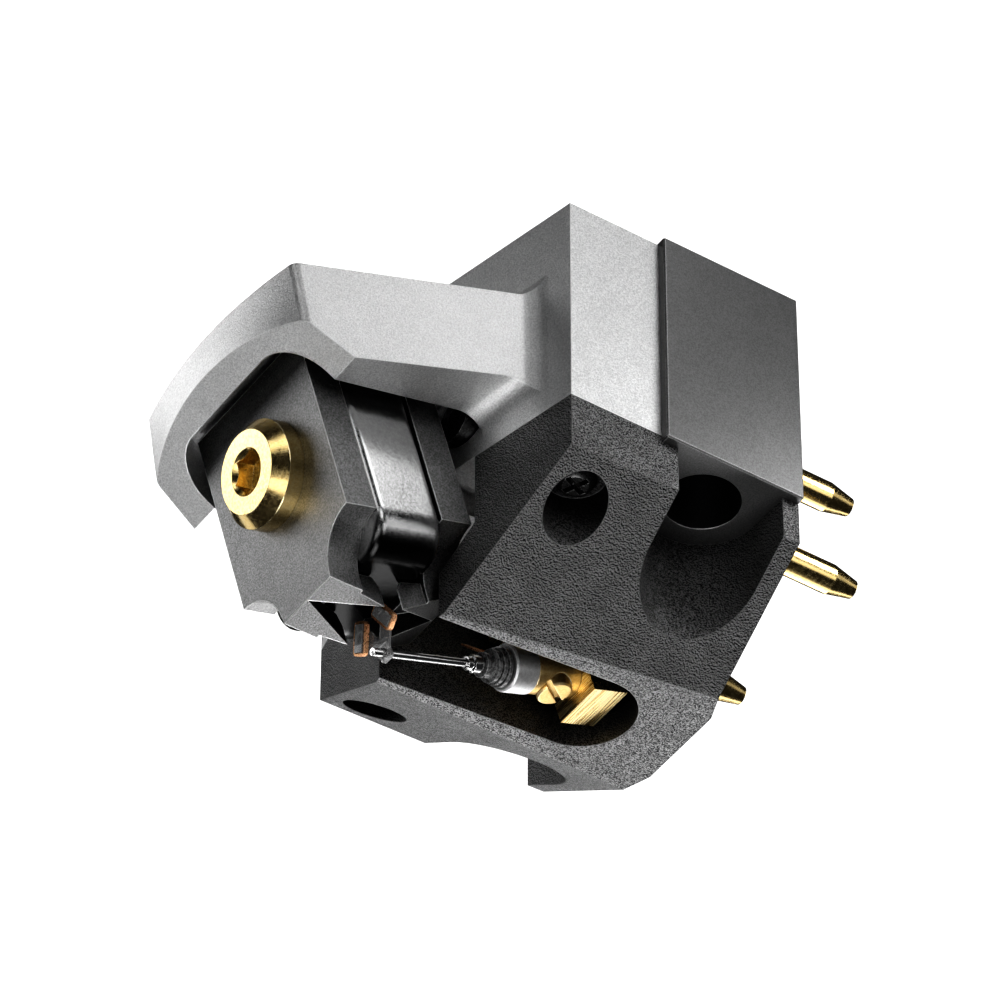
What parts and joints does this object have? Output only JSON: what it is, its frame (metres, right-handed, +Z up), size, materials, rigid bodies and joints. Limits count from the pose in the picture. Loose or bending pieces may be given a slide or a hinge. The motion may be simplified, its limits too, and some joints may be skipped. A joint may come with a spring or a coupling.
{
  "type": "turntable stylus cartridge",
  "caption": "Moving coil phono cartridge with an open nose, a magnet system held by one screw, a sprung cantilever with its stylus, and gold output pins",
  "frame": {"origin": "midway between the two mounting holes, on the top face that meets the headshell", "axes": "+X across to the part's right as seen from behind, +Y towards the output pins, -Y towards the nose and stylus, +Z up away from the record"},
  "size_m": [0.017, 0.0257, 0.0173],
  "materials": {
    "base_metal": "satin",
    "body_metal": "matte",
    "cover_black": "matte",
    "insulator": "matte",
    "gold": "polished",
    "dark_screw": "satin",
    "yoke_metal": "satin",
    "magnet_chrome": "polished",
    "diamond": "gloss",
    "rod_metal": "polished",
    "former": "gloss",
    "copper": "satin",
    "rubber": "satin",
    "collar_metal": "satin"
  },
  "bodies": {
    "cartridge": {"mounting_base": "base_metal", "terminal_board": "insulator", "terminal_pin_upper_right": "gold", "terminal_pin_lower_right": "gold", "terminal_pin_upper_left": "gold", "terminal_pin_lower_left": "gold", "front_body": "body_metal", "lower_cover": "cover_black", "body_screw_right": "dark_screw", "body_screw_left": "dark_screw", "cover_screw_right": "dark_screw", "cover_screw_left": "dark_screw", "front_yoke": "yoke_metal", "magnet": "magnet_chrome", "rear_yoke": "yoke_metal", "yoke_screw": "gold", "damper_collar": "collar_metal", "suspension_holder": "gold", "holder_set_screw": "gold", "holder_block": "gold", "block_screw_right": "dark_screw", "block_screw_left": "dark_screw", "lead_wires_right": "copper", "lead_wires_left": "copper"},
    "wire": {"suspension_wire": "rod_metal", "damper": "rubber"},
    "moving_system": {"stylus": "diamond", "cantilever": "rod_metal", "cantilever_sleeve": "rod_metal", "coil_former": "former", "coil_right": "copper", "coil_left": "copper"}
  },
  "joints": [
    {"name": "suspension_vertical", "type": "hinge", "parent": "cartridge", "child": "wire", "pos_m": [0, -0.00474, -0.01536], "axis": [1, 0, 0], "range_deg": [-2, 2], "stiffness_Nm_per_rad": 0.0016},
    {"name": "suspension_lateral", "type": "hinge", "parent": "wire", "child": "moving_system", "pos_m": [0, -0.00474, -0.01536], "axis": [0, -0.3371, 0.9415], "range_deg": [-2, 2], "stiffness_Nm_per_rad": 0.0016}
  ]
}
